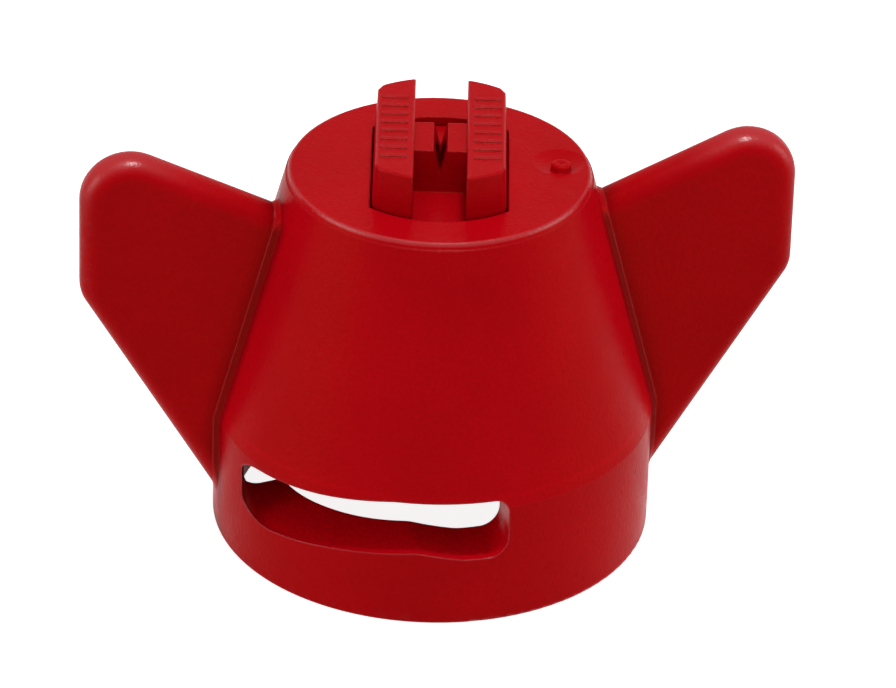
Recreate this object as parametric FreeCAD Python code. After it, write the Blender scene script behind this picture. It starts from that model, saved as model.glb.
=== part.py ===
"""Flat-fan spray tip held in a winged quarter-turn cap.

Three pieces: the moulded cap with its two thumb wings and bayonet tracks, the
spray tip that looks out through the cap's end wall, and the rubber gasket
below the tip's flange.  Origin at the centre of the cap's bottom rim, +Z along
the spray axis, wings along X.  Millimetres.
"""
import FreeCAD, Part
import math
import os
from FreeCAD import Vector

# ---------------------------------------------------------------- driving sizes
# Mouth of the cap, which drops over a nozzle body
mouth_radius = 10.7         # ring below the tracks
mouth_chamfer = 0.5
guide_step = 0.3            # the bore above the tracks is this much tighter
guide_length = 4.2          # straight bore that guides the body's outlet
skirt_wall = 4.0            # full thickness of the skirt
skirt_foot_round = 0.3      # outside edge of the bottom rim
skirt_height = 8.65         # straight outside wall below the cone

# Bayonet track, cut twice, half a turn apart
track_wall = 1.6            # wall left outside the lug track
entry_start = 150.0         # degrees from +X, anticlockwise from above
entry_sweep = 45.0          # degrees that one lug needs to enter
entry_front = 2.58          # straight front wall of the entry, from the axis plane
window_end_wall = 1.2       # wall left beside the closed end of the window
window_right = 3.15         # x of the stop that the lug turns against
track_join = 2.0            # how far in front of the axis plane the window meets the entry
ramp_foot = 3.85            # track floor at the entry
ramp_middle = 4.85          # track floor half way up the ramp
ramp_middle_back = 8.1      # distance of that place from the axis plane
hump_height = 5.45          # crest that the lug snaps over
hump_back = 2.9             # distance of the crest from the axis plane
pocket_height = 4.95        # floor of the pocket that holds the lug
ceiling_height = 9.2        # track ceiling over hump and pocket
ceiling_land = 0.55         # wider bore carried on above the ceiling
ceiling_back = 4.4          # where the ceiling starts to fall
ceiling_foot = 8.12         # track ceiling at the entry
window_corner = 0.95
ramp_corner = 1.4
pocket_corner = 1.35
ramp_radius = 30.0
hump_radius = 2.5
ceiling_radius = 6.0
pocket_start = 0.2          # x where the pocket's flat floor starts
pocket_radius = 4.0

# Outside of the cap
cap_height = 26.2
end_wall = 2.1              # wall that the tip's flange seats against
top_wall = 1.85             # wall beside the flange pocket at the top
top_edge = 0.2              # worn edge of the top face, in two steps
top_edge_break = 0.06
witness_drop = 0.45         # fine ledge round the cone, just below the top face
witness_step = 0.05

# Thumb wings
wing_reach = 23.8           # axis to outer edge
wing_thickness = 2.9
wing_edge_round = 1.3
wing_top_root = 23.85       # height where the top edge leaves the cone
wing_top_rise = 0.482       # rise of the top edge for each millimetre outwards
wing_bottom_root = 2.74     # height where the lower edge leaves the skirt
wing_low_corner = 18.2      # height where the outer edge turns in
wing_top_radius = 3.3
wing_low_radius = 2.5
wing_root_blend = 0.35

# Mark left by the moulding gate on the top face
gate_x = 7.98
gate_y = -0.58
gate_dish_back = 0.8        # centre of the hollow, behind the gate
gate_dish_radius = 1.75
gate_dish_depth = 0.22
gate_pip_radius = 0.62
gate_pip_height = 0.6       # above the floor of the dish
gate_pip_round = 0.2        # worn end of the stub
gate_pip_flare = 0.1        # wider at the foot
gate_dimple_radius = 0.28
gate_dimple_depth = 0.12

# Spray tip
tip_turn = -8.2             # degrees about the axis, so that neighbouring fans miss each other
head_radius = 6.97
head_half_width = 4.4       # across the flats, at the cap's top face
head_draft = 3.2            # degrees
head_height = 3.1           # above the cap's top face
flange_lip = 1.03           # flange beyond the head
flange_thickness = 2.4
groove_half_width = 1.74
groove_sunk = 0.6           # groove floor below the cap's top face
boss_height = 2.4           # above the cap's top face
boss_half_length = 1.95     # along the groove, at the top
boss_draft_run = 0.12       # how far each end face leans out
slit_depth = 1.72
slit_half_width = 0.46
orifice_radius = 1.15       # domed end of the waterway
dome_cover = 0.38           # plastic left above the dome
throat_length = 1.3
inlet_radius = 2.6
head_corner_chamfer = 0.35  # upright corners of the blocks
head_edge_chamfer = 0.12

# Plain raised bars on the two blocks
mark_length = 1.75
mark_width = 0.36
mark_rise = 0.08
mark_pitch = 1.15
marks_on_block = 8

# Gasket
gasket_overlap = 1.0        # gasket beyond the flange
gasket_thickness = 3.0
gasket_hole_radius = 5.5
gasket_chamfer = 0.25

# Fits
head_clearance = 0.13
flange_clearance = 0.2
gasket_clearance = 0.3

# ---------------------------------------------------------------- worked-out sizes
skirt_radius = mouth_radius + skirt_wall
guide_radius = mouth_radius - guide_step
guide_bottom = ceiling_height + ceiling_land
guide_top = guide_bottom + guide_length
track_radius = skirt_radius - track_wall
flange_radius = head_radius + flange_lip
gasket_radius = flange_radius + gasket_overlap
flange_pocket_radius = flange_radius + flange_clearance
gasket_pocket_radius = gasket_radius + gasket_clearance
top_radius = flange_pocket_radius + top_wall
flange_top = cap_height - end_wall
flange_bottom = flange_top - flange_thickness
gasket_bottom = flange_bottom - gasket_thickness
head_top = cap_height + head_height
boss_top = cap_height + boss_height
groove_floor = cap_height - groove_sunk
past = 1.0                  # how far a cutter runs past the face that it opens

Z_AXIS = Vector(0, 0, 1)
CENTRE = Vector(0, 0, 0)


# ---------------------------------------------------------------- shared makers
def rounded_outline(corners):
    """Closed wire in the XZ plane.  Each corner is (x, z, radius)."""
    spans = []
    for index, (x, z, radius) in enumerate(corners):
        here = Vector(x, 0, z)
        before = corners[index - 1]
        after = corners[(index + 1) % len(corners)]
        back = (Vector(before[0], 0, before[1]) - here).normalize()
        ahead = (Vector(after[0], 0, after[1]) - here).normalize()
        half_angle = back.getAngle(ahead) / 2
        reach = radius / math.tan(half_angle)
        inward = (back + ahead).normalize()
        middle = here + inward * (radius / math.sin(half_angle) - radius)
        spans.append((here + back * reach, middle, here + ahead * reach, radius))
    edges = []
    for index, (start, middle, end, radius) in enumerate(spans):
        if radius > 0:
            edges.append(Part.Arc(start, middle, end).toShape())
        following = spans[(index + 1) % len(spans)][0]
        edges.append(Part.LineSegment(end, following).toShape())
    return Part.Wire(edges)


def prism_along_y(corners, y_from, y_to):
    """Solid of an XZ outline between two Y planes."""
    face = Part.Face(rounded_outline(corners))
    face.translate(Vector(0, y_from, 0))
    return face.extrude(Vector(0, y_to - y_from, 0))


def turned(corners):
    """Solid of revolution about Z of an XZ outline."""
    face = Part.Face(rounded_outline(corners))
    return face.revolve(CENTRE, Z_AXIS, 360)


def rotated(shape, degrees):
    """Copy of a shape, turned about Z."""
    copy = shape.copy()
    copy.rotate(CENTRE, Z_AXIS, degrees)
    return copy


def half_turn_pair(shape):
    """A shape and its copy half a turn round."""
    return [shape, rotated(shape, 180)]


# ---------------------------------------------------------------- cap
def cone_radius(height):
    """Outside radius of the cap's cone at a height."""
    share = (height - skirt_height) / (cap_height - skirt_height)
    return skirt_radius + (top_radius - skirt_radius) * share


def outside_radius(height):
    """Outside radius of skirt or cone at a height."""
    return skirt_radius if height < skirt_height else cone_radius(height)


def cap_outside():
    """Skirt and cone, with a fine ledge and a worn edge at the top face."""
    ledge = cap_height - witness_drop
    edge_radius = top_radius - witness_step
    return turned([
        (0, 0, 0),
        (skirt_radius, 0, skirt_foot_round),
        (skirt_radius, skirt_height, 0),
        (cone_radius(ledge), ledge, 0),
        (cone_radius(ledge) - witness_step, ledge, 0),
        (edge_radius, cap_height - top_edge, 0),
        (edge_radius - top_edge_break, cap_height - top_edge_break, 0),
        (edge_radius - top_edge, cap_height, 0),
        (0, cap_height, 0),
    ])


def wing():
    """Thumb wing on the +X side, with rounded edges, rooted inside the wall."""
    top_root_x = cone_radius(wing_top_root)
    root_x = flange_pocket_radius
    root_z = wing_top_root - (top_root_x - root_x) * wing_top_rise
    corner_z = wing_top_root + (wing_reach - top_root_x) * wing_top_rise
    foot_slope = (wing_low_corner - wing_bottom_root) / (wing_reach - skirt_radius)
    foot_x = skirt_radius - wing_bottom_root / foot_slope
    plate = prism_along_y([
        (root_x, root_z, 0),
        (foot_x, 0, 0),
        (wing_reach, wing_low_corner, wing_low_radius),
        (wing_reach, corner_z, wing_top_radius),
    ], -wing_thickness / 2, wing_thickness / 2)
    rounded = []
    for edge in plate.Edges:
        box = edge.BoundBox
        along_face = box.YLength < 1e-6
        outside = box.XMax > foot_x + 1e-3
        if along_face and outside:
            rounded.append(edge)
    return plate.makeFillet(min(wing_edge_round, 0.45 * wing_thickness), rounded)


def wing_roots(body):
    """Edges where the flat faces of the wings leave the skirt and the cone."""
    roots = []
    for edge in body.Edges:
        middle = edge.valueAt((edge.FirstParameter + edge.LastParameter) / 2)
        on_face = edge.BoundBox.YLength < 1e-4 and abs(abs(middle.y) - wing_thickness / 2) < 1e-4
        on_body = abs(math.hypot(middle.x, middle.y) - outside_radius(middle.z)) < 0.01
        if on_face and on_body:
            roots.append(edge)
    return roots


def cap_cavity():
    """Mouth, guide bore, taper, gasket pocket and flange pocket."""
    return turned([
        (0, -past, 0),
        (mouth_radius + mouth_chamfer + past, -past, 0),
        (mouth_radius, mouth_chamfer, 0),
        (mouth_radius, guide_bottom, 0),
        (guide_radius, guide_bottom, 0),
        (guide_radius, guide_top, 0),
        (gasket_pocket_radius, gasket_bottom, 0),
        (gasket_pocket_radius, flange_bottom, 0),
        (flange_pocket_radius, flange_bottom, 0),
        (flange_pocket_radius, flange_top, 0),
        (0, flange_top, 0),
    ])


def lug_window():
    """Front window: ramp, hump and pocket below, falling ceiling above."""
    left = window_end_wall - skirt_radius
    return prism_along_y([
        (left, ramp_foot, ramp_corner),
        (-ramp_middle_back, ramp_middle, ramp_radius),
        (-hump_back, hump_height, hump_radius),
        (pocket_start, pocket_height, pocket_radius),
        (window_right, pocket_height, pocket_corner),
        (window_right, ceiling_height, window_corner),
        (-ceiling_back, ceiling_height, ceiling_radius),
        (left, ceiling_foot, window_corner),
    ], -skirt_radius - past, -track_join)


def lug_entry():
    """Axial groove through which a lug enters, from the rim to the track ceiling."""
    depth = ceiling_foot + past
    sector = Part.makeCylinder(track_radius, depth, Vector(0, 0, -past), Z_AXIS, entry_sweep)
    behind = Part.makeBox(track_radius, entry_front + track_radius, depth,
                          Vector(-track_radius, -entry_front, -past))
    return rotated(sector, entry_start).common(behind)


def head_block(clearance, bottom, top):
    """Round bar with two tapered flats: the tip's head or the hole that it passes."""
    bar = Part.makeCylinder(head_radius + clearance, top - bottom, Vector(0, 0, bottom))
    taper = math.tan(math.radians(head_draft))
    low = head_half_width + clearance + (cap_height - bottom) * taper
    high = head_half_width + clearance - (top - cap_height) * taper
    reach = head_radius + clearance + past
    wedge = prism_along_y([
        (-low, bottom, 0),
        (low, bottom, 0),
        (high, top, 0),
        (-high, top, 0),
    ], -reach, reach)
    return bar.common(wedge)


def gate_dish():
    """Shallow spherical hollow round the gate mark."""
    ball_radius = (gate_dish_radius ** 2 + gate_dish_depth ** 2) / (2 * gate_dish_depth)
    centre = Vector(gate_x, gate_y + gate_dish_back, cap_height - gate_dish_depth + ball_radius)
    return Part.makeSphere(ball_radius, centre)


def gate_pip():
    """Gate stub with a worn end and a small dimple in it."""
    foot = cap_height - gate_dish_depth
    end = foot + gate_pip_height
    foot_radius = gate_pip_radius + gate_pip_flare
    stub = turned([
        (0, foot - end_wall / 2, 0),
        (foot_radius, foot - end_wall / 2, 0),
        (foot_radius, foot, 0),
        (gate_pip_radius, end, gate_pip_round),
        (gate_dimple_radius, end, 0),
        (0, end - gate_dimple_depth, 0),
    ])
    stub.translate(Vector(gate_x, gate_y, 0))
    return stub


def make_cap():
    """Winged quarter-turn cap."""
    body = cap_outside().fuse(half_turn_pair(wing()))
    body = body.makeChamfer(wing_root_blend, wing_roots(body))
    cutters = [cap_cavity(), gate_dish()]
    cutters += half_turn_pair(lug_window())
    cutters += half_turn_pair(lug_entry())
    cutters.append(rotated(head_block(head_clearance, flange_top - past, cap_height + past), tip_turn))
    return body.cut(cutters).fuse(gate_pip()).removeSplitter()


# ---------------------------------------------------------------- spray tip
def orifice_boss():
    """Block across the groove, which carries the slit."""
    foot = boss_half_length + boss_draft_run
    boss = prism_along_y([
        (-foot, groove_floor, 0),
        (foot, groove_floor, 0),
        (boss_half_length, boss_top, 0),
        (-boss_half_length, boss_top, 0),
    ], -groove_half_width, groove_half_width)
    return rotated(boss, 90)


def slit():
    """V cut along the groove, which opens the dome into a flat fan."""
    slope = slit_half_width / slit_depth
    reach = head_radius + past
    return prism_along_y([
        (0, boss_top - slit_depth, 0),
        (slope * (slit_depth + past), boss_top + past, 0),
        (-slope * (slit_depth + past), boss_top + past, 0),
    ], -reach, reach)


def waterway():
    """Tapered inlet, throat and domed end."""
    dome_centre = boss_top - dome_cover - orifice_radius
    throat_foot = dome_centre - throat_length
    bore = turned([
        (0, flange_bottom - past, 0),
        (inlet_radius, flange_bottom - past, 0),
        (inlet_radius, flange_bottom, 0),
        (orifice_radius, throat_foot, 0),
        (orifice_radius, dome_centre, 0),
        (0, dome_centre, 0),
    ])
    return bore.fuse(Part.makeSphere(orifice_radius, Vector(0, 0, dome_centre)))


def block_marks():
    """Rows of plain raised bars on the two blocks."""
    middle = (groove_half_width + head_half_width) / 2
    first = -mark_pitch * (marks_on_block - 1) / 2
    bars = []
    for side in (-1, 1):
        for index in range(marks_on_block):
            corner = Vector(side * middle - mark_length / 2,
                            first + index * mark_pitch - mark_width / 2,
                            head_top - mark_rise)
            bars.append(Part.makeBox(mark_length, mark_width, 2 * mark_rise, corner))
    return bars


def leans_upright(edge):
    """True for an edge that runs from the bottom of the head to its top."""
    return edge.BoundBox.ZLength > head_height


def make_spray_tip():
    """Flanged flat-fan tip."""
    flange = Part.makeCylinder(flange_radius, flange_thickness, Vector(0, 0, flange_bottom))
    head = head_block(0, flange_top, head_top)
    corners = [edge for edge in head.Edges if leans_upright(edge)]
    head = head.makeChamfer(head_corner_chamfer, corners)
    groove = Part.makeBox(2 * groove_half_width, 2 * head_radius + 2 * past, head_top,
                          Vector(-groove_half_width, -head_radius - past, groove_floor))
    blocks = head.cut(groove)
    rims = [edge for edge in blocks.Edges if edge.BoundBox.ZMin > head_top - 1e-6]
    blocks = blocks.makeChamfer(head_edge_chamfer, rims)
    tip = flange.fuse([blocks, orifice_boss()] + block_marks())
    tip = tip.cut([slit(), waterway()]).removeSplitter()
    return rotated(tip, tip_turn)


# ---------------------------------------------------------------- gasket
def make_gasket():
    """Flat rubber ring with chamfered edges."""
    ring = turned([
        (gasket_hole_radius, gasket_bottom, 0),
        (gasket_radius, gasket_bottom, 0),
        (gasket_radius, flange_bottom, 0),
        (gasket_hole_radius, flange_bottom, 0),
    ])
    return ring.makeChamfer(gasket_chamfer, ring.Edges)


# ---------------------------------------------------------------- output
def main():
    """Build each piece and write its STEP file."""
    os.makedirs("parts", exist_ok=True)
    pieces = {
        "cap": make_cap(),
        "spray_tip": make_spray_tip(),
        "gasket": make_gasket(),
    }
    for name, shape in pieces.items():
        shape.exportStep(os.path.join("parts", name + ".step"))
        print(name, "valid", shape.isValid(), "solids", len(shape.Solids),
              "volume", round(shape.Volume, 1))


main()
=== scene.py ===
"""Looks of a spray tip in its winged quarter-turn cap: moulded plastic, rubber and a studio stage."""

import math

import bmesh
import bpy
from bpy.props import FloatProperty, FloatVectorProperty, PointerProperty
from mathutils import Matrix, Vector


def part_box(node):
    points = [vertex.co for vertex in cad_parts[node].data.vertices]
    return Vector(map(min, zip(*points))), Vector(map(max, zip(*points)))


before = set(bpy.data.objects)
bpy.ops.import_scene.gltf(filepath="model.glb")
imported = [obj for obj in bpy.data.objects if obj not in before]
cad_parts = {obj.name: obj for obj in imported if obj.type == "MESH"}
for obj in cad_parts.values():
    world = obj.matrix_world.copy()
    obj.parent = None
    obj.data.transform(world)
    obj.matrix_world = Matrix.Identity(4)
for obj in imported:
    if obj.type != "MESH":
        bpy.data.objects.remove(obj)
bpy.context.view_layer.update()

bl_info = {
    "name": "Winged Spray Cap",
    "version": (1, 0, 0),
    "blender": (4, 5, 0),
    "location": "3D View > Sidebar > Spray Cap",
    "description": "Finishes a spray tip and its winged cap and sets up a studio around them",
    "category": "Object",
}

MM = 0.001

# Sizes of the patterns in the moulded plastic
DRIFT = 9 * MM                  # slow drift of the colour
SPECK = 0.35 * MM               # single pale specks
MOTTLE = 0.22 * MM              # fine dark mottle
BLOTCH = 1.6 * MM               # patches that are duller than others
SWELL = 2.4 * MM                # slow unevenness of the surface
SWELL_HEIGHT = 0.03 * MM
PLASTIC_IOR = 1.46

# Places on the cap
DISC_RADIUS = 10.05 * MM        # top face of the cap
DISC_HEIGHT = 26.2 * MM
WING_HALF = 1.45 * MM           # half the thickness of a wing
WING_ROOT = (8.0 * MM, 9.0 * MM)            # reach at which a place is beside a wing
WING_ONLY = (13.0 * MM, 16.0 * MM)          # radius past which the upper cap is wing alone
WING_FOOT = (1.6 * MM, 3.4 * MM)            # height at which the wing leaves the skirt
WING_HEAD = (22.9 * MM, 24.0 * MM)          # height at which the wing leaves the cone
WING_CORNER_INSET = (2.8 * MM, 0.4 * MM)    # middle of the painted highlight on the wing corner, in from end and top
WING_CORNER_DEPTH = 0.8 * MM
WING_CORNER_SPREAD = 5.5 * MM
SKIRT_INSIDE = (14.30 * MM, 14.55 * MM)     # radius below which a low face lies in a lug track
TRACK_TOP = (9.4 * MM, 9.7 * MM)
RIM_BAND = 0.9 * MM             # height of the scuffed rim
WING_END_BAND = 1.1 * MM        # width of the scuffed wing ends

# Lamps: name, setting that holds the power, side of the square, place
LAMPS = (
    ("key_lamp", "key_power", 0.45, (-0.05, -0.04, 0.60)),
    ("spark_lamp", "spark_power", 0.10, (0.04, -0.06, 0.60)),
    ("left_lamp", "side_power", 0.35, (-0.55, -0.08, 0.13)),
    ("right_lamp", "side_power", 0.35, (0.55, -0.08, 0.13)),
)


# ---------------------------------------------------------------- settings
class PlasticSettings(bpy.types.PropertyGroup):
    """Colour and surface of the moulded plastic."""
    cap_colour: FloatVectorProperty(
        name="Cap colour", description="Plastic of the cap", subtype="COLOR",
        size=3, min=0, max=1, default=(0.60, 0.0012, 0.0075))
    tip_colour: FloatVectorProperty(
        name="Tip colour", description="Plastic of the spray tip", subtype="COLOR",
        size=3, min=0, max=1, default=(0.60, 0.0015, 0.0075))
    roughness: FloatProperty(
        name="Roughness", description="Roughness of the satin surface",
        subtype="FACTOR", min=0, max=1, default=0.30)
    gloss: FloatProperty(
        name="Gloss", description="How strongly the surface reflects",
        subtype="FACTOR", min=0, max=1, default=0.022)
    gloss_tint: FloatVectorProperty(
        name="Gloss tint", description="Colour and strength of reflections seen straight on",
        subtype="COLOR", size=3, min=0, max=20, default=(2.6, 2.2, 0.4))
    # Painted highlight: strength of the white specular tint painted on the wing corners, the top face's
    # edge and other edges.
    painted_highlight_gain: FloatProperty(
        name="Polish", description="Strength of the white reflections of rubbed places and edges",
        min=1, max=60, default=28.0)
    crevice_reach: FloatProperty(
        name="Crevice reach", description="How far the darkening in corners and slits spreads",
        subtype="DISTANCE", unit="LENGTH", min=0, max=0.01, default=0.0022)
    edge_round: FloatProperty(
        name="Edge round", description="Radius to which sharp moulded edges look worn",
        subtype="DISTANCE", unit="LENGTH", min=0, max=0.001, default=0.00016)
    grain_size: FloatProperty(
        name="Grain size", description="Size of the fine texture left by the mould",
        subtype="DISTANCE", unit="LENGTH", min=0.00005, max=0.002, default=0.00028)
    grain_height: FloatProperty(
        name="Grain height", description="Height of the fine texture left by the mould",
        subtype="DISTANCE", unit="LENGTH", min=0, max=0.0001, default=0.000030)


class RubberSettings(bpy.types.PropertyGroup):
    """Colour and surface of the gasket."""
    colour: FloatVectorProperty(
        name="Rubber colour", description="Rubber of the gasket", subtype="COLOR",
        size=3, min=0, max=1, default=(0.022, 0.022, 0.023))
    roughness: FloatProperty(
        name="Roughness", description="Roughness of the rubber",
        subtype="FACTOR", min=0, max=1, default=0.62)


class StageSettings(bpy.types.PropertyGroup):
    """Floor, lamps and camera."""
    floor_size: FloatProperty(
        name="Floor size", description="Side of the square floor",
        subtype="DISTANCE", unit="LENGTH", min=0.2, max=20, default=6.0)
    floor_colour: FloatVectorProperty(
        name="Floor colour", description="Colour of the floor", subtype="COLOR",
        size=3, min=0, max=1, default=(0.75, 0.75, 0.75))
    floor_glow: FloatProperty(
        name="Floor glow", description="Light added to the floor where it is looked at",
        min=0, max=1, default=0.88)
    world_light: FloatProperty(
        name="World light", description="Strength of the soft light from all round",
        min=0, max=2, default=0.22)
    key_power: FloatProperty(
        name="Key power", description="Power of the large lamp overhead",
        subtype="POWER", unit="POWER", min=0, max=100, default=0.3)
    spark_power: FloatProperty(
        name="Spark power", description="Power of the small lamp overhead that draws highlights",
        subtype="POWER", unit="POWER", min=0, max=100, default=1.35)
    side_power: FloatProperty(
        name="Side power", description="Power of each of the two lamps beside the object",
        subtype="POWER", unit="POWER", min=0, max=100, default=0.78)
    camera_azimuth: FloatProperty(
        name="Camera azimuth", description="Turn of the view about the upright axis",
        subtype="ANGLE", unit="ROTATION", default=math.radians(-8.59))
    camera_elevation: FloatProperty(
        name="Camera elevation", description="Height angle of the view",
        subtype="ANGLE", unit="ROTATION", default=math.radians(30.51))
    camera_roll: FloatProperty(
        name="Camera roll", description="Tilt of the camera about its own line of sight",
        subtype="ANGLE", unit="ROTATION", default=math.radians(1.82))
    camera_distance: FloatProperty(
        name="Camera distance", description="From the camera to the point it looks at",
        subtype="DISTANCE", unit="LENGTH", min=0.05, max=5, default=0.4454)
    camera_target: FloatVectorProperty(
        name="Camera target", description="Point that the camera looks at",
        subtype="TRANSLATION", unit="LENGTH", size=3, default=(0.00089, -0.00013, 0.01283))
    focal_length: FloatProperty(
        name="Focal length", description="Focal length for a sensor 36 mm wide, in mm",
        min=10, max=1000, default=267.65)


class SprayCapSettings(bpy.types.PropertyGroup):
    """All settings of the scene."""
    plastic: PointerProperty(type=PlasticSettings)
    rubber: PointerProperty(type=RubberSettings)
    stage: PointerProperty(type=StageSettings)


# ---------------------------------------------------------------- node helpers
class MaterialMaker:
    """Small helper that adds shader nodes and links them."""

    def __init__(self, name):
        self.material = bpy.data.materials.new(name)
        self.material.use_nodes = True
        self.tree = self.material.node_tree
        self.surface = self.tree.nodes["Principled BSDF"]
        self.coords = self.add("ShaderNodeTexCoord").outputs["Object"]

    def add(self, kind, **values):
        """A new node with some of its own fields set."""
        node = self.tree.nodes.new(kind)
        for field, value in values.items():
            setattr(node, field, value)
        return node

    def join(self, source, target):
        """Link an output to an input, or set the input to a plain value."""
        if isinstance(source, bpy.types.NodeSocket):
            self.tree.links.new(source, target)
        else:
            target.default_value = source

    def noise(self, size, detail=2.0, roughness=0.5, distortion=0.0):
        """Noise whose lumps are about size metres across, as a grey value."""
        node = self.add("ShaderNodeTexNoise")
        self.join(self.coords, node.inputs["Vector"])
        node.inputs["Scale"].default_value = 1 / size
        node.inputs["Detail"].default_value = detail
        node.inputs["Roughness"].default_value = roughness
        node.inputs["Distortion"].default_value = distortion
        return node.outputs["Fac"]

    def spread(self, value, low, high, to_low=0.0, to_high=1.0, shape="LINEAR"):
        """Map a grey value from one range to another, clamped; shape is the curve between."""
        node = self.add("ShaderNodeMapRange", clamp=True, interpolation_type=shape)
        self.join(value, node.inputs["Value"])
        node.inputs["From Min"].default_value = low
        node.inputs["From Max"].default_value = high
        node.inputs["To Min"].default_value = to_low
        node.inputs["To Max"].default_value = to_high
        return node.outputs["Result"]

    def maths(self, operation, first, second=0.0):
        """One arithmetic step."""
        node = self.add("ShaderNodeMath", operation=operation)
        self.join(first, node.inputs[0])
        self.join(second, node.inputs[1])
        return node.outputs[0]

    def product(self, first, *others):
        """Grey values multiplied together."""
        for other in others:
            first = self.maths("MULTIPLY", first, other)
        return first

    def blend(self, share, first, second):
        """Mix two colours by a grey value."""
        node = self.add("ShaderNodeMix", data_type="RGBA")
        self.join(share, node.inputs["Factor"])
        self.join(first, node.inputs["A"])
        self.join(second, node.inputs["B"])
        return node.outputs["Result"]

    def bump(self, height, distance, strength=1.0, under=None):
        """Bump from a grey height."""
        node = self.add("ShaderNodeBump")
        self.join(height, node.inputs["Height"])
        node.inputs["Distance"].default_value = distance
        node.inputs["Strength"].default_value = strength
        if under is not None:
            self.join(under, node.inputs["Normal"])
        return node.outputs["Normal"]

    def position(self):
        """X, Y and Z of the point, in metres."""
        node = self.add("ShaderNodeSeparateXYZ")
        self.join(self.coords, node.inputs["Vector"])
        return node.outputs["X"], node.outputs["Y"], node.outputs["Z"]


def tint(colour, factor):
    """A colour made lighter or darker, with full alpha."""
    return tuple(min(1.0, channel * factor) for channel in colour) + (1.0,)


# ---------------------------------------------------------------- materials
def edge_share(maker, worn_normal):
    """1 on edges, where the worn normal leaves the surface's own, and 0 on open faces."""
    geometry = maker.add("ShaderNodeNewGeometry")
    agree = maker.add("ShaderNodeVectorMath", operation="DOT_PRODUCT")
    maker.join(geometry.outputs["Normal"], agree.inputs[0])
    maker.join(worn_normal, agree.inputs[1])
    return maker.spread(agree.outputs["Value"], 0.995, 0.88)


def moulded_plastic(name, colour, settings, places):
    """Satin moulded plastic with drift, specks, mottle, grain, scuffs, painted highlights and painted
    shade.

    places(maker) gives the grey values of one piece by name: scuffed; painted_highlight and edge_gleam,
    where a painted white highlight is added to the specular tint; painted_corner_shade and
    painted_valley_shade, where shade is painted into the base colour; and painted_interior_light, where
    faces inside the skirt are painted lighter.
    """
    maker = MaterialMaker(name)
    place = places(maker)
    edges = maker.add("ShaderNodeBevel", samples=4)
    edges.inputs["Radius"].default_value = settings.edge_round
    worn_normal = edges.outputs["Normal"]
    # Ambient occlusion; its closed share is used below to paint shade into corners and slits.
    openness = maker.add("ShaderNodeAmbientOcclusion", samples=8)
    openness.inputs["Distance"].default_value = settings.crevice_reach
    closed = maker.spread(openness.outputs["AO"], 0.90, 0.40)

    drift = maker.spread(maker.noise(DRIFT, detail=3.0), 0.35, 0.65)
    base = maker.blend(drift, tint(colour, 0.94), tint(colour, 1.06))
    speck = maker.spread(maker.noise(SPECK, detail=1.0), 0.74, 0.78, 0.0, 0.35)
    base = maker.blend(speck, base, tint(colour, 1.5))
    # Painted light: faces inside the skirt, below the top of the lug tracks, are made 1.4 times lighter.
    base = maker.blend(place["painted_interior_light"], base, tint(colour, 1.4))
    scuff_colour = tuple(0.75 * channel + 0.05 for channel in colour) + (1.0,)
    base = maker.blend(place["scuffed"], base, scuff_colour)
    mottle = maker.spread(maker.noise(MOTTLE, detail=1.0), 0.3, 0.7, 0.0, 0.5)
    base = maker.blend(mottle, base, tint(colour, 0.86))
    # Painted shade: the base colour is blended towards near black in corners and slits (by ambient
    # occlusion) and in the valleys beside the wing roots.
    painted_shade = maker.maths("MAXIMUM", maker.product(closed, place["painted_corner_shade"]), place["painted_valley_shade"])
    base = maker.blend(painted_shade, base, tint(colour, 0.05))
    maker.join(base, maker.surface.inputs["Base Color"])

    blotch = maker.noise(BLOTCH, detail=2.0)
    rough = maker.spread(blotch, 0.3, 0.7, settings.roughness - 0.03, settings.roughness + 0.04)
    rough = maker.maths("ADD", rough, maker.product(place["scuffed"], 0.15))
    rough = maker.maths("SUBTRACT", rough, maker.product(place["painted_highlight"], 0.05))
    maker.join(rough, maker.surface.inputs["Roughness"])

    grain = maker.noise(settings.grain_size, detail=2.0, roughness=0.6)
    normal = maker.bump(grain, settings.grain_height, under=worn_normal)
    normal = maker.bump(maker.noise(SWELL, detail=1.0), SWELL_HEIGHT, under=normal)
    maker.join(normal, maker.surface.inputs["Normal"])

    maker.surface.inputs["IOR"].default_value = PLASTIC_IOR
    maker.surface.inputs["Specular IOR Level"].default_value = settings.gloss
    # Painted highlights: the specular tint is blended from the plain gloss tint to strong white where
    # painted_highlight or the edge gleam is set.
    edge = maker.product(edge_share(maker, worn_normal), place["edge_gleam"],
                         maker.maths("SUBTRACT", 1.0, closed))
    gleam = maker.maths("MAXIMUM", place["painted_highlight"], edge)
    plain = tuple(settings.gloss_tint) + (1.0,)
    strong = (settings.painted_highlight_gain, settings.painted_highlight_gain, settings.painted_highlight_gain, 1.0)
    maker.join(maker.blend(gleam, plain, strong), maker.surface.inputs["Specular Tint"])
    return maker.material


def cap_scuffs(maker, reach, height):
    """Scuffs along the rim and on the ends of the wings."""
    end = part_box("cap")[1].x
    rim = maker.spread(height, 0.0, RIM_BAND, 1.0, 0.0)
    wing_ends = maker.spread(reach, end - WING_END_BAND, end)
    patch = maker.spread(maker.noise(0.9 * MM, detail=4.0, roughness=0.7), 0.50, 0.68, 0.0, 0.35)
    return maker.product(maker.maths("MAXIMUM", rim, wing_ends), patch)


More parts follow.
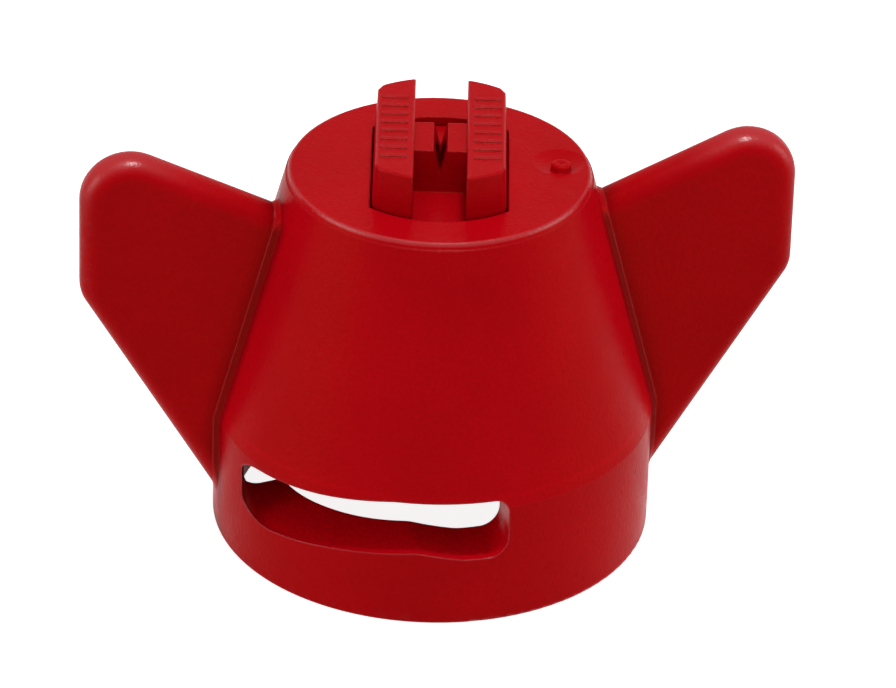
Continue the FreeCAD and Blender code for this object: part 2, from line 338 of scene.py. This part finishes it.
def wing_corner_painted_highlight(maker, depth, radius):
    """Painted highlight on the rounded edges of the wings, strongest at their upper corners."""
    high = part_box("cap")[1]
    inset, drop = WING_CORNER_INSET
    folded = maker.add("ShaderNodeVectorMath", operation="ABSOLUTE")
    maker.join(maker.coords, folded.inputs[0])
    away = maker.add("ShaderNodeVectorMath", operation="DISTANCE")
    maker.join(folded.outputs["Vector"], away.inputs[0])
    away.inputs[1].default_value = (high.x - inset, WING_CORNER_DEPTH, high.z - drop)
    near = maker.spread(away.outputs["Value"], 0.0, WING_CORNER_SPREAD, 1.0, 0.12, "SMOOTHSTEP")
    rounded = maker.spread(depth, 0.60 * WING_HALF, 0.97 * WING_HALF, 1.0, 0.0, "SMOOTHSTEP")
    return maker.product(near, rounded, maker.spread(radius, *WING_ONLY))


def disc_edge_painted_highlight(maker, radius, height):
    """Painted highlight on the edge of the top face."""
    outside = maker.spread(radius, DISC_RADIUS - 0.30 * MM, DISC_RADIUS - 0.15 * MM)
    on_top = maker.spread(height, DISC_HEIGHT - 0.30 * MM, DISC_HEIGHT - 0.15 * MM)
    not_wing = maker.spread(radius, DISC_RADIUS + 0.25 * MM, DISC_RADIUS + 0.75 * MM, 1.0, 0.0)
    return maker.product(outside, on_top, not_wing)


def wing_root_painted_shade(maker, depth, height, beside_wing):
    """Painted shade in the valley where a wing leaves the cone and the skirt."""
    off_wing = maker.spread(depth, 1.005 * WING_HALF, 1.03 * WING_HALF)
    near_wing = maker.spread(depth, 1.1 * WING_HALF, 2.0 * WING_HALF, 0.55, 0.0, "SMOOTHSTEP")
    along_wing = maker.product(maker.spread(height, *WING_FOOT),
                               maker.spread(height, *WING_HEAD, 1.0, 0.0))
    return maker.product(off_wing, near_wing, beside_wing, along_wing)


def cap_places(maker):
    """Where the cap is scuffed, where painted highlights and edge gleam go, where painted shade darkens
    it, and where its inside is painted lighter.
    """
    x, y, z = maker.position()
    reach = maker.maths("ABSOLUTE", x)
    depth = maker.maths("ABSOLUTE", y)
    radius = maker.maths("SQRT", maker.maths("ADD", maker.product(x, x), maker.product(y, y)))
    beside_wing = maker.spread(reach, *WING_ROOT)
    return {
        "scuffed": cap_scuffs(maker, reach, z),
        # Painted highlight on the wing corners and on the top face's edge.
        "painted_highlight": maker.maths("MAXIMUM", wing_corner_painted_highlight(maker, depth, radius),
                                disc_edge_painted_highlight(maker, radius, z)),
        "edge_gleam": maker.spread(z, DISC_HEIGHT - 0.75 * MM, DISC_HEIGHT - 0.55 * MM, 1.0, 0.25),
        # Painted shade in the corners beside the wing roots, where ambient occlusion is low.
        "painted_corner_shade": maker.product(beside_wing, maker.spread(depth, 2.0 * MM, 4.0 * MM, 0.75, 0.0)),
        # Painted shade along the valley at each wing root.
        "painted_valley_shade": wing_root_painted_shade(maker, depth, z, beside_wing),
        # Painted light on the faces inside the skirt, below the track top.
        "painted_interior_light": maker.product(maker.spread(radius, *SKIRT_INSIDE, 1.0, 0.0),
                               maker.spread(z, *TRACK_TOP, 1.0, 0.0)),
    }


def tip_places(maker):
    """Where the tip is scuffed on top, where a painted highlight is added on top, and how its edges gleam
    and how much painted shade darkens its corners.
    """
    z = maker.position()[2]
    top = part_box("spray_tip")[1].z
    patch = maker.spread(maker.noise(0.6 * MM, detail=4.0, roughness=0.7), 0.52, 0.70, 0.0, 0.25)
    return {
        "scuffed": maker.product(maker.spread(z, top - 0.25 * MM, top), patch),
        # Painted highlight on the top of the tip.
        "painted_highlight": maker.spread(z, top - 0.3 * MM, top, 0.0, 0.1),
        "edge_gleam": 0.35,
        # Painted shade in the tip's corners and slit, where ambient occlusion is low.
        "painted_corner_shade": 0.18,
        "painted_valley_shade": 0.0,
        "painted_interior_light": 0.0,
    }


def seal_rubber(settings):
    """Dull moulded rubber with a dusty bloom."""
    maker = MaterialMaker("gasket_rubber")
    bloom = maker.spread(maker.noise(1.5 * MM, detail=4.0, roughness=0.65), 0.45, 0.75)
    dusty = tuple(channel + 0.03 for channel in settings.colour) + (1.0,)
    maker.join(maker.blend(bloom, tint(settings.colour, 1.0), dusty),
               maker.surface.inputs["Base Color"])
    rough = maker.spread(bloom, 0.0, 1.0, settings.roughness - 0.05, settings.roughness + 0.15)
    maker.join(rough, maker.surface.inputs["Roughness"])
    maker.join(maker.bump(maker.noise(0.2 * MM, detail=3.0), 0.01 * MM),
               maker.surface.inputs["Normal"])
    return maker.material


def dress(node, material):
    """Give every slot of a CAD node one material."""
    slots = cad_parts[node].material_slots
    if not slots:
        raise RuntimeError("node " + node + " has no material slot")
    for slot in slots:
        slot.material = material


# ---------------------------------------------------------------- stage
def seen_mask(tree):
    """1 for rays from the camera, mirror-like reflections and see-through parts, else 0."""
    path = tree.nodes.new("ShaderNodeLightPath")
    total = path.outputs["Is Camera Ray"]
    for name in ("Is Glossy Ray", "Is Transmission Ray"):
        node = tree.nodes.new("ShaderNodeMath")
        node.operation = "MAXIMUM"
        tree.links.new(total, node.inputs[0])
        tree.links.new(path.outputs[name], node.inputs[1])
        total = node.outputs[0]
    return total


def floor_material(settings):
    """Pale paper that glows a little where it is looked at, so that it reads as white with a shadow."""
    maker = MaterialMaker("floor_paper")
    fibre = maker.spread(maker.noise(40 * MM, detail=4.0), 0.3, 0.7)
    base = maker.blend(fibre, tint(settings.floor_colour, 0.985), tint(settings.floor_colour, 1.015))
    maker.join(base, maker.surface.inputs["Base Color"])
    maker.surface.inputs["Roughness"].default_value = 0.9
    maker.surface.inputs["Specular IOR Level"].default_value = 0.1
    maker.surface.inputs["Emission Color"].default_value = (1, 1, 1, 1)
    glow = maker.maths("MULTIPLY", seen_mask(maker.tree), settings.floor_glow)
    maker.join(glow, maker.surface.inputs["Emission Strength"])
    return maker.material


def add_floor(settings):
    """Square floor at the height of the cap's rim."""
    shape = bmesh.new()
    bmesh.ops.create_grid(shape, x_segments=1, y_segments=1, size=settings.floor_size / 2)
    mesh = bpy.data.meshes.new("floor")
    shape.to_mesh(mesh)
    shape.free()
    floor = bpy.data.objects.new("floor", mesh)
    bpy.context.scene.collection.objects.link(floor)
    mesh.materials.append(floor_material(settings))


def add_world(settings):
    """Soft light from all round, white where it is looked at."""
    world = bpy.data.worlds.new("studio")
    bpy.context.scene.world = world
    world.use_nodes = True
    tree = world.node_tree
    background = tree.nodes["Background"]
    background.inputs["Color"].default_value = (1, 1, 1, 1)
    strength = tree.nodes.new("ShaderNodeMapRange")
    tree.links.new(seen_mask(tree), strength.inputs["Value"])
    strength.inputs["To Min"].default_value = settings.world_light
    strength.inputs["To Max"].default_value = 1.0
    tree.links.new(strength.outputs["Result"], background.inputs["Strength"])


def add_lamp(name, power, size, place, target):
    """Square area lamp that faces a point."""
    lamp = bpy.data.lights.new(name, "AREA")
    lamp.energy = power
    lamp.size = size
    holder = bpy.data.objects.new(name, lamp)
    holder.location = place
    holder.rotation_euler = (Vector(place) - Vector(target)).to_track_quat("Z", "Y").to_euler()
    bpy.context.scene.collection.objects.link(holder)


def add_camera(settings):
    """Long-lens camera set by azimuth, elevation, roll and distance."""
    azimuth = settings.camera_azimuth
    elevation = settings.camera_elevation
    back = Vector((math.sin(azimuth) * math.cos(elevation),
                   -math.cos(azimuth) * math.cos(elevation),
                   math.sin(elevation)))
    right = (-back).cross(Vector((0, 0, 1))).normalized()
    up = right.cross(-back)
    turn = Matrix((right, up, back)).transposed().to_4x4()
    roll = Matrix.Rotation(settings.camera_roll, 4, "Z")
    place = Vector(settings.camera_target) + back * settings.camera_distance
    lens = bpy.data.cameras.new("camera")
    lens.sensor_width = 36
    lens.lens = settings.focal_length
    lens.clip_start = 0.01
    camera = bpy.data.objects.new("camera", lens)
    camera.matrix_world = Matrix.Translation(place) @ turn @ roll
    bpy.context.scene.collection.objects.link(camera)
    bpy.context.scene.camera = camera


# ---------------------------------------------------------------- operators
class SPRAYCAP_OT_finish_cap(bpy.types.Operator):
    """Give the winged cap its satin red plastic"""
    bl_idname = "spraycap.finish_cap"
    bl_label = "Finish Cap"

    def execute(self, context):
        plastic = context.scene.spray_cap.plastic
        dress("cap", moulded_plastic("cap_plastic_satin", plastic.cap_colour, plastic, cap_places))
        return {"FINISHED"}


class SPRAYCAP_OT_finish_tip(bpy.types.Operator):
    """Give the spray tip its satin red plastic"""
    bl_idname = "spraycap.finish_tip"
    bl_label = "Finish Spray Tip"

    def execute(self, context):
        plastic = context.scene.spray_cap.plastic
        dress("spray_tip", moulded_plastic("tip_plastic_satin", plastic.tip_colour, plastic, tip_places))
        return {"FINISHED"}


class SPRAYCAP_OT_finish_gasket(bpy.types.Operator):
    """Give the gasket its dull black rubber"""
    bl_idname = "spraycap.finish_gasket"
    bl_label = "Finish Gasket"

    def execute(self, context):
        dress("gasket", seal_rubber(context.scene.spray_cap.rubber))
        return {"FINISHED"}


class SPRAYCAP_OT_build_stage(bpy.types.Operator):
    """Set up floor, lamps, world and camera"""
    bl_idname = "spraycap.build_stage"
    bl_label = "Build Stage"

    def execute(self, context):
        settings = context.scene.spray_cap.stage
        context.scene.view_settings.view_transform = "Standard"
        middle = Vector(settings.camera_target)
        add_floor(settings)
        add_world(settings)
        for name, power, size, place in LAMPS:
            add_lamp(name, getattr(settings, power), size, place, middle)
        add_camera(settings)
        return {"FINISHED"}


class SPRAYCAP_PT_panel(bpy.types.Panel):
    """Lists the steps that finish the spray cap"""
    bl_idname = "SPRAYCAP_PT_panel"
    bl_label = "Spray Cap"
    bl_space_type = "VIEW_3D"
    bl_region_type = "UI"
    bl_category = "Spray Cap"

    def draw(self, context):
        for step in STEPS:
            self.layout.operator(step.bl_idname)


STEPS = (
    SPRAYCAP_OT_finish_cap,
    SPRAYCAP_OT_finish_tip,
    SPRAYCAP_OT_finish_gasket,
    SPRAYCAP_OT_build_stage,
)
CLASSES = (PlasticSettings, RubberSettings, StageSettings, SprayCapSettings) + STEPS + (SPRAYCAP_PT_panel,)


def register():
    """Register the classes and the settings."""
    for cls in CLASSES:
        bpy.utils.register_class(cls)
    bpy.types.Scene.spray_cap = PointerProperty(type=SprayCapSettings)


def unregister():
    """Remove the settings and the classes."""
    del bpy.types.Scene.spray_cap
    for cls in reversed(CLASSES):
        bpy.utils.unregister_class(cls)


def main():
    """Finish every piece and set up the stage."""
    register()
    bpy.ops.spraycap.finish_cap()
    bpy.ops.spraycap.finish_tip()
    bpy.ops.spraycap.finish_gasket()
    bpy.ops.spraycap.build_stage()


if __name__ == "__main__":
    main()
